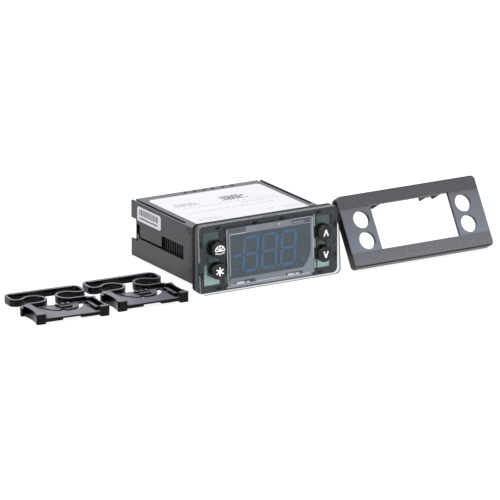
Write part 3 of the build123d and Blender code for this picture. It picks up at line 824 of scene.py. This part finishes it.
@dataclass
class Housing:
    """Casing, gasket, rear cover, labels and the electronics inside.

    Attributes:
        finishes: the finishes.
        label_top: height of the top label's face, in millimetres, as are the other sizes.
        label_side: how far out the side label's face lies.
        print_rise: thickness of the print.
        dark_blocks: blocks of dark print on the top label.
        light_rows: rows of light print on it, each with its place up, its start and its end.
        light_tall: height of the light bars.
        light_gap: gap between them, and length of the shortest.
        light_step: step by which their lengths vary.
        bars: start and end of the side label's upright bars.
        bars_middle: height of their middle.
        bars_tall: height of the bars.
        bar_widths: their widths, in turn.
        bar_gaps: the gaps between them, in turn.
        ticks: start and end of the row under the bars.
        ticks_middle: height of its middle.
        tick_size: width and height of its ticks.
        tick_pitch: distance between ticks.
    """

    finishes: Finishes
    label_top: float = 29.25
    label_side: float = 35.12
    print_rise: float = 0.02
    dark_blocks: tuple[PrintBlock, ...] = (
        PrintBlock(0.5, 12.5, 40.5, 46.0, 1.35, 1.0), PrintBlock(-25.0, -12.5, 40.5, 45.5, 1.7, 0.5))
    light_rows: tuple[Triple, ...] = (
        (36.5, -25.0, 26.0), (33.0, 6.0, 26.5), (28.5, -25.0, 20.0), (17.5, -26.0, -13.0),
        (16.0, -26.0, -14.5), (18.0, 10.0, 15.0), (18.6, 19.0, 28.0), (16.6, 19.0, 27.0))
    light_tall: float = 0.45
    light_gap: float = 0.9
    light_step: float = 0.8
    bars: Point = (38.4, 55.5)
    bars_middle: float = 25.1
    bars_tall: float = 3.0
    bar_widths: tuple[float, ...] = (0.3, 0.55, 0.3, 0.8)
    bar_gaps: tuple[float, ...] = (0.35, 0.3, 0.55)
    ticks: Point = (39.0, 55.0)
    ticks_middle: float = 22.3
    tick_size: Point = (0.8, 0.9)
    tick_pitch: float = 1.05

    def dress_all(self) -> None:
        """Dresses the housing's nodes and prints its labels."""
        plain = {
            "casing": self.finishes.case, "panel_gasket": self.finishes.gasket,
            "rear_cover": self.finishes.cover, "top_label": self.finishes.label,
            "side_label": self.finishes.label, "main_board": self.finishes.power_board,
            "relays": self.finishes.relay, "transformer": self.finishes.core,
            "smoothing_capacitor": self.finishes.capacitor, "controller_chip": self.finishes.chip,
            "buzzer": self.finishes.buzzer, "board_header": self.finishes.header,
            "power_terminals": self.finishes.terminal, "sensor_terminals": self.finishes.terminal,
            "terminal_screws": self.finishes.screw,
        }
        for node, material in plain.items():
            dress(node, material)
        self.print_top_label()
        self.print_side_label()

    def light_outlines(self) -> list[list[Point]]:
        """Lays out the top label's light bars.

        Returns:
            Their outlines, in metres.
        """
        bars = []
        for row, start, end in self.light_rows:
            place = start
            count = 0
            while place < end:
                length = self.light_gap + self.light_step * ((count * 5 + int(row)) % 3)
                bars.append(rectangle(place + length / 2, row, length, self.light_tall))
                place += length + self.light_gap
                count += 1
        return bars

    def print_top_label(self) -> None:
        """Prints plain grey blocks and rows of short bars on the top label."""
        plane = Matrix.Translation((0, 0, self.label_top * MM))
        dark = [outline for block in self.dark_blocks for outline in block.outlines()]
        light = self.light_outlines()
        for name, outlines, material in (("top_print_dark", dark, self.finishes.print_dark),
                                         ("top_print_light", light, self.finishes.print_light)):
            piece = solid_from_outlines(name, outlines, self.print_rise * MM, plane, material)
            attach(piece, BODY)
            log.info("printed %s", name)

    def print_side_label(self) -> None:
        """Prints a field of upright bars and a thin row under it on the side label."""
        plane = Matrix(((0, 0, -1, -self.label_side * MM), (-1, 0, 0, 0), (0, 1, 0, 0), (0, 0, 0, 1)))
        outlines = []
        place, end = self.bars
        count = 0
        while place < end:
            width = self.bar_widths[count * 3 % len(self.bar_widths)]
            outlines.append(rectangle(-(place + width / 2), self.bars_middle, width, self.bars_tall))
            place += width + self.bar_gaps[count % len(self.bar_gaps)]
            count += 1
        place, end = self.ticks
        while place < end:
            outlines.append(rectangle(-(place + self.tick_size[0] / 2), self.ticks_middle, *self.tick_size))
            place += self.tick_pitch
        piece = solid_from_outlines("side_print", outlines, self.print_rise * MM, plane,
                                    self.finishes.print_dark)
        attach(piece, BODY)
        log.info("printed %s", piece.name)


@dataclass(frozen=True)
class Layer:
    """A thin layer of rectangles on a plane of the clear front, in millimetres.

    Attributes:
        name: the piece's name.
        out: how far out its back lies from the clear front's back face.
        thick: its thickness.
        fields: its rectangles, each with its middle across and up from the top edge, and its size.
    """

    name: str
    out: float
    thick: float
    fields: tuple[Field, ...]


@dataclass
class FrontPanel:
    """Front frame, clear front and display.

    Attributes:
        finishes: the finishes.
        lean: how far the clear front leans back, in radians.
        back_y: where its back face meets its top edge, in millimetres.
        height: height of its top edge, in millimetres.
        lip: pale strips behind the platform's lower edge and its right wall.
        seam_highlights: glowing white strips along the display's seams and edges, as painted highlights.
        glints: glowing white pieces on the hooks and on the border, as painted highlights and reflections.
        hooks: the hooks' dark edges.
        frame_shades: black sheets on the frame where its recesses lie in shade, as painted shade.
        fill: what fills the clear front's notch.
        border_shades: tinted clear sheets that make the display's border greyer over its hook recesses, as
            painted shade.
    """

    finishes: Finishes
    lean: float = math.radians(3.5)
    back_y: float = -1.1
    height: float = 32.0
    lip: Layer = Layer("front_lip", -0.05, 0.04, (
        (0.0, -30.4, 45.6, 1.4), (24.5, -5.4, 1.0, 5.8), (24.5, -16.1, 1.0, 4.6),
        (24.5, -24.6, 1.0, 1.2)))
    # painted highlights: bright lines along the display's seams and edges.
    seam_highlights: Layer = Layer("front_seam_highlights", 1.2, 0.15, (
        (-0.4, -29.2, 42.0, 0.3), (16.4, -3.1, 11.0, 0.2), (-17.0, -5.75, 8.6, 0.25),
        (-21.3, -15.5, 0.2, 19.5), (-22.7, -16.0, 0.2, 25.0), (22.7, -13.0, 0.3, 19.0)))
    # painted highlights: white glints on the hooks and the border, standing in for reflections.
    glints: Layer = Layer("front_glints", 1.38, 0.1, (
        (-16.4, -28.5, 4.2, 1.0), (-12.4, -28.6, 1.6, 0.5), (10.2, -28.5, 3.4, 1.0),
        (13.6, -28.5, 2.0, 0.7), (4.8, -4.2, 0.9, 0.8), (14.8, -4.7, 6.8, 0.2)))
    hooks: Layer = Layer("front_hooks", 1.2, 0.15, (
        (-18.9, -28.5, 0.35, 1.4), (-13.6, -27.8, 10.0, 0.25), (-8.8, -28.5, 0.5, 1.5),
        (-10.6, -28.6, 1.6, 0.7), (8.0, -28.5, 0.35, 1.4), (12.0, -27.8, 8.0, 0.25),
        (16.3, -28.5, 0.5, 1.5)))
    # painted shade: black sheets where the frame's recesses are in shade.
    frame_shades: Layer = Layer("front_frame_shades", -0.05, 0.04, (
        (-26.6, -2.1, 2.5, 1.0), (-7.0, -2.1, 2.5, 1.0), (7.2, -2.1, 2.5, 1.0), (26.8, -2.1, 2.5, 1.0),
        (-26.6, -30.0, 2.5, 1.0), (26.8, -30.0, 2.5, 1.0), (-35.3, -9.0, 1.0, 2.5),
        (35.3, -9.0, 1.0, 2.5), (-35.3, -23.0, 1.0, 2.5), (35.3, -23.0, 1.0, 2.5)))
    fill: Layer = Layer("front_fill", 0.06, 1.1, ((0.8, -0.38, 7.1, 0.6),))
    # painted shade: tinted sheets darken the border over its hook recesses.
    border_shades: Layer = Layer("front_border_shades", 1.2, 0.15, (
        (-17.3, -4.3, 9.2, 2.4), (16.4, -4.3, 10.2, 2.2), (-22.0, -16.5, 1.1, 22.0),
        (-13.7, -28.5, 9.4, 1.1), (12.1, -28.5, 7.8, 1.1)))

    def dress_all(self) -> None:
        """Dresses the front's nodes and adds its trim."""
        for node, material in {
            "front_frame": self.finishes.frame, "clear_front": self.finishes.clear,
            "display_surround": self.finishes.surround, "display_block": self.finishes.display,
            "display_segments": self.finishes.segments, "display_board": self.finishes.board,
            "key_switches": self.finishes.switch,
        }.items():
            dress(node, material)
        self.add_trim()

    def leaning(self, out: float) -> Matrix:
        """A plane of the clear front, with its origin at the top edge.

        Args:
            out: how far out it lies from the clear front's back face, in millimetres.

        Returns:
            The plane, in metres.
        """
        across = Vector(ACROSS)
        up = Vector((0.0, math.sin(self.lean), math.cos(self.lean)))
        normal = across.cross(up)
        place = Vector((0.0, self.back_y, self.height)) + normal * out
        return Matrix.Translation(place * MM) @ Matrix((across, up, normal)).transposed().to_4x4()

    def add_trim(self) -> None:
        """Adds the strips, the painted highlights along the seams, the hooks, and the sheets of painted
        shade on the frame and over the border, in and behind the clear front.
        """
        for layer, material in (
            (self.lip, self.finishes.lip), (self.seam_highlights, self.finishes.glint),
            (self.glints, self.finishes.glint), (self.hooks, self.finishes.frame),
            (self.frame_shades, self.finishes.gasket), (self.fill, self.finishes.frame),
            (self.border_shades, self.finishes.border_shade),
        ):
            outlines = [rectangle(*sizes) for sizes in layer.fields]
            piece = solid_from_outlines(layer.name, outlines, layer.thick * MM, self.leaning(layer.out),
                                        material)
            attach(piece, BODY)
            log.info("added %s", layer.name)


@dataclass
class Keys:
    """Four round push buttons with printed symbols.

    Attributes:
        finishes: the finishes.
        rise: how far the symbols stand out from a key's face, in millimetres, as are the other sizes.
        depth: how far the symbols reach into the key.
        stroke: width of the symbols' strokes.
        fine_stroke: width of the strokes of the melting crystal.
        chevron_side: half the width of a chevron.
        chevron_top: height of its upper end over the key's centre.
        chevron_low: height of its lower end.
        crystal_arm: length of the crystal's arms.
        dome: radius of the melting crystal's dome.
        dome_drop: how far the dome's centre lies under the key's centre.
        spoke: length of the spokes in the dome.
        drops: places across of the drops under the dome.
    """

    finishes: Finishes
    rise: float = 0.03
    depth: float = 0.1
    stroke: float = 0.68
    fine_stroke: float = 0.5
    chevron_side: float = 1.1
    chevron_top: float = 1.4
    chevron_low: float = -1.5
    crystal_arm: float = 2.1
    dome: float = 2.4
    dome_drop: float = 0.4
    spoke: float = 2.3
    drops: tuple[float, ...] = (-2.0, -1.0, 0.0, 1.0, 2.0)

    def dress_all(self) -> None:
        """Dresses the buttons and prints their symbols."""
        symbols = {"button_defrost": KeySymbol.MELTING_CRYSTAL, "button_set": KeySymbol.CRYSTAL,
                   "button_up": KeySymbol.CHEVRON_UP, "button_down": KeySymbol.CHEVRON_DOWN}
        for node, symbol in symbols.items():
            dress(node, self.finishes.key)
            low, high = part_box(node)
            centre = (Vector(low) + Vector(high)) / 2
            plane = Matrix.Translation((centre.x, low[1] + self.depth * MM, centre.z)) @ Matrix.Rotation(
                math.radians(90), 4, "X")
            width = self.fine_stroke if symbol is KeySymbol.MELTING_CRYSTAL else self.stroke
            outlines = [bar(start, end, width) for start, end in self.strokes(symbol)]
            piece = solid_from_outlines(f"{node}_symbol", outlines, (self.depth + self.rise) * MM, plane,
                                        self.finishes.symbol)
            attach(piece, node)
            log.info("printed %s", piece.name)

    def strokes(self, symbol: KeySymbol) -> list[Stroke]:
        """The strokes of a symbol.

        Args:
            symbol: the symbol.

        Returns:
            The strokes, in millimetres about the key's centre.
        """
        if symbol is KeySymbol.CHEVRON_UP:
            return self.chevron(self.chevron_top, self.chevron_low)
        if symbol is KeySymbol.CHEVRON_DOWN:
            return self.chevron(self.chevron_low, self.chevron_top)
        if symbol is KeySymbol.CRYSTAL:
            arm = self.crystal_arm
            return [((-x * arm, -y * arm), (x * arm, y * arm)) for x, y in self.arms((90, 30, -30))]
        return self.melting_crystal()

    def chevron(self, tip: float, foot: float) -> list[Stroke]:
        """The strokes of a chevron.

        Args:
            tip: height of its tip.
            foot: height of its two feet.

        Returns:
            The strokes.
        """
        point = (0.0, tip)
        return [((-self.chevron_side, foot), point), (point, (self.chevron_side, foot))]

    def arms(self, angles: tuple[int, ...]) -> list[Point]:
        """Directions at the given angles, in degrees."""
        return [(math.cos(math.radians(a)), math.sin(math.radians(a))) for a in angles]

    def melting_crystal(self) -> list[Stroke]:
        """Draws a crystal under a dome, with drops below it.

        Returns:
            The strokes.
        """
        drop = self.dome_drop
        rim = [(self.dome * x, self.dome * y - drop) for x, y in self.arms(tuple(range(0, 181, 20)))]
        dome = list(zip(rim, rim[1:]))
        crystal = [((0.0, -drop), (x * self.spoke, y * self.spoke - drop))
                   for x, y in self.arms((0, 45, 90, 135, 180))]
        drops = [((x, -1.5 + abs(x) * 0.2), (x, -2.2 + abs(x) * 0.2)) for x in self.drops]
        return dome + crystal + drops


@dataclass
class Bezel:
    """Front bezel, taken off and leaning back.

    Attributes:
        finishes: the finishes.
        LEAN: how far it leans back, in radians.
        TURN: how far it is turned about the upright, in radians.
        ORIGIN: lower left corner of its rear edge, in metres, as are the other sizes.
        FACE: how far its face lies out from its rear edge.
        BAND_LOW: where its plain middle band starts, up the face.
        BAND_HIGH: where that band ends.
        TALL: where its upper edge lies.
    """

    finishes: Finishes
    LEAN: ClassVar[float] = math.radians(31.5)
    TURN: ClassVar[float] = math.radians(0.64)
    ORIGIN: ClassVar[Triple] = (43.2 * MM, -3.61 * MM, 0.0)
    FACE: ClassVar[float] = 4.9 * MM
    BAND_LOW: ClassVar[float] = 6.8 * MM
    BAND_HIGH: ClassVar[float] = 28.3 * MM
    TALL: ClassVar[float] = 34.6 * MM

    @classmethod
    def up_direction(cls) -> Triple:
        """Direction up the bezel's face."""
        return (-math.sin(cls.LEAN) * math.sin(cls.TURN), math.sin(cls.LEAN) * math.cos(cls.TURN),
                math.cos(cls.LEAN))

    @classmethod
    def out_direction(cls) -> Triple:
        """Direction out of the bezel's face."""
        return (math.cos(cls.LEAN) * math.sin(cls.TURN), -math.cos(cls.LEAN) * math.cos(cls.TURN),
                math.sin(cls.LEAN))

    def dress_all(self) -> None:
        """Dresses the bezel."""
        dress("bezel", self.finishes.bezel)


@dataclass
class MountingClips:
    """Two sprung clips that hold the casing against the panel."""

    finishes: Finishes

    def dress_all(self) -> None:
        """Dresses both clips."""
        for node in ("mounting_clip_left", "mounting_clip_right"):
            dress(node, self.finishes.clip)


@dataclass(frozen=True)
class Lamp:
    """A soft square lamp that faces the origin.

    Attributes:
        name: its name.
        place: where it hangs, in metres.
        size: its side, in metres.
        power: its power, in watts.
    """

    name: str
    place: Triple
    size: float
    power: float

    def hang(self) -> None:
        """Adds the lamp to the scene."""
        data = bpy.data.lights.new(self.name, "AREA")
        data.size = self.size
        data.energy = self.power
        obj = bpy.data.objects.new(self.name, data)
        turn = (-Vector(self.place)).to_track_quat("-Z", "Y").to_matrix().to_4x4()
        obj.matrix_world = Matrix.Translation(self.place) @ turn
        bpy.context.scene.collection.objects.link(obj)


@dataclass
class Studio:
    """White floor, soft lamps and the camera of the photograph's view.

    Attributes:
        azimuth: how far left of the front the camera stands, in radians.
        elevation: how high it stands, in radians.
        distance: how far off it stands, in millimetres, as are the next three.
        shift_right: how far right of the middle of the view the aim lies.
        shift_up: how far above it the aim lies.
        frame_offset: how far the frame's front face lies in front of the origin.
        lens: its focal length, in millimetres.
        sensor: the width of its sensor, in millimetres.
        floor_size: side of the floor, in metres.
        floor_drop: how far the floor lies under the object, in metres.
        floor_grey: share of the light that the floor throws back.
        floor_glow: what is added to it where it is seen.
        room_light: strength of the even light.
        lamps: the lamps.
    """

    azimuth: float = 0.532728080
    elevation: float = 0.280083922
    distance: float = 2277.42005
    shift_right: float = 8.13984510
    shift_up: float = -15.1603720
    frame_offset: float = 1.0
    lens: float = 360.0
    sensor: float = 36.0
    floor_size: float = 6.0
    floor_drop: float = 0.00002
    floor_grey: float = 0.35
    floor_glow: float = 0.88
    room_light: float = 0.42
    lamps: tuple[Lamp, ...] = (
        Lamp("top_lamp", (0.1, 0.5, 1.6), 1.2, 11.5), Lamp("left_lamp", (-1.3, 0.1, 0.8), 0.8, 10.5),
        Lamp("front_lamp", (0.3, -1.7, 0.6), 0.8, 8.0))

    def camera(self) -> None:
        """Places the camera."""
        a, e = self.azimuth, self.elevation
        right = Vector((math.cos(a), -math.sin(a), 0.0))
        back = Vector((-math.sin(a) * math.cos(e), -math.cos(a) * math.cos(e), math.sin(e)))
        up = Vector((math.sin(e) * math.sin(a), math.sin(e) * math.cos(a), math.cos(e)))
        place = -self.shift_right * right - self.shift_up * up + self.distance * back
        place.y -= self.frame_offset
        data = bpy.data.cameras.new("studio_camera")
        data.lens = self.lens
        data.sensor_width = self.sensor
        data.clip_end = 100.0
        data.clip_start = 0.05
        obj = bpy.data.objects.new("studio_camera", data)
        obj.matrix_world = Matrix.Translation(place * MM) @ Matrix((right, up, back)).transposed().to_4x4()
        bpy.context.scene.collection.objects.link(obj)
        bpy.context.scene.camera = obj

    def floor(self) -> None:
        """Lays a white floor that the camera sees as white, with the object's shadow kept."""
        mesh = bmesh.new()
        half = self.floor_size / 2
        corners = [mesh.verts.new((x * half, y * half, -self.floor_drop))
                   for x, y in ((-1, -1), (1, -1), (1, 1), (-1, 1))]
        mesh.faces.new(corners)
        data = bpy.data.meshes.new("floor")
        mesh.to_mesh(data)
        mesh.free()
        obj = bpy.data.objects.new("floor", data)
        bpy.context.scene.collection.objects.link(obj)
        shader = Shader.material("floor_white")
        matt = shader.node("ShaderNodeBsdfDiffuse", {}, Color=(self.floor_grey,) * 3)
        glow = shader.node("ShaderNodeEmission", {}, Color=WHITE, Strength=self.floor_glow)
        both = shader.node("ShaderNodeAddShader", {}, matt, glow)
        mixed = shader.node("ShaderNodeMixShader", {}, shader.shown(), matt, both)
        obj.data.materials.append(shader.finish(mixed))

    def world(self) -> None:
        """Lights the room evenly and shows it white."""
        room = Shader(bpy.data.worlds.new("studio_room"))
        light = room.node("ShaderNodeBackground", {}, Color=WHITE, Strength=self.room_light)
        white = room.node("ShaderNodeBackground", {}, Color=WHITE, Strength=1.0)
        mixed = room.node("ShaderNodeMixShader", {}, room.shown(), light, white)
        bpy.context.scene.world = room.finish(mixed)

    def build(self) -> None:
        """Builds the camera, the floor, the room and the lamps."""
        self.camera()
        self.floor()
        self.world()
        for lamp in self.lamps:
            lamp.hang()
        bpy.context.scene.view_settings.view_transform = "Standard"


def main() -> None:
    """Builds the scene, one sub-assembly after another."""
    logging.basicConfig(level=logging.INFO, format="%(name)s: %(message)s")
    Studio().build()
    finishes = Finishes()
    for assembly in (Housing(finishes), FrontPanel(finishes), Keys(finishes), Bezel(finishes),
                     MountingClips(finishes)):
        assembly.dress_all()
        log.info("finished %s", type(assembly).__name__)


if __name__ == "__main__":
    main()
